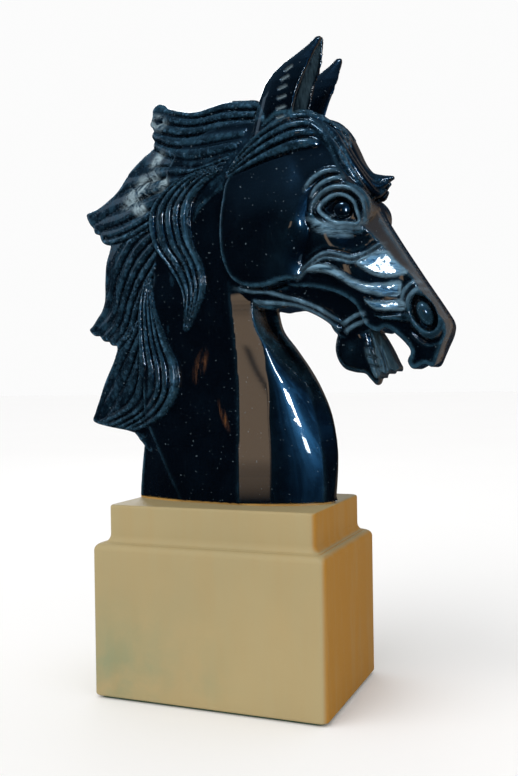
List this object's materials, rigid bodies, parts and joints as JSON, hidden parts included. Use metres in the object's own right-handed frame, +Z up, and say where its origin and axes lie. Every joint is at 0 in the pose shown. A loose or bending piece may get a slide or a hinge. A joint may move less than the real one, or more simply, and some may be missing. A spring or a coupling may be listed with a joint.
{
  "type": "jade horse head figurine on stone plinth",
  "caption": "Horse head carved in black jade with swept mane and open mouth, pinned on a stepped honey-coloured stone plinth.",
  "frame": {"origin": "centre of the underside of the felt base, on the surface that the figurine stands on", "axes": "+Z up; +X along the plinth, towards the horse's nose; +Y towards the horse's left side, square to its middle plane"},
  "size_m": [0.2379, 0.105, 0.3949],
  "materials": {
    "black_jade": "hand-polished to a mirror on the skin, duller in the grooves of the hair",
    "honey_stone": "satin, rubbed smooth",
    "amber_resin": "clear amber, glossy",
    "dowel_steel": "turned",
    "green_felt": "matt, short nap"
  },
  "bodies": {
    "root": {"horse_head": "black_jade", "plinth": "honey_stone", "resin_bed": "amber_resin", "front_dowel": "dowel_steel", "rear_dowel": "dowel_steel", "felt_base": "green_felt"}
  },
  "joints": []
}
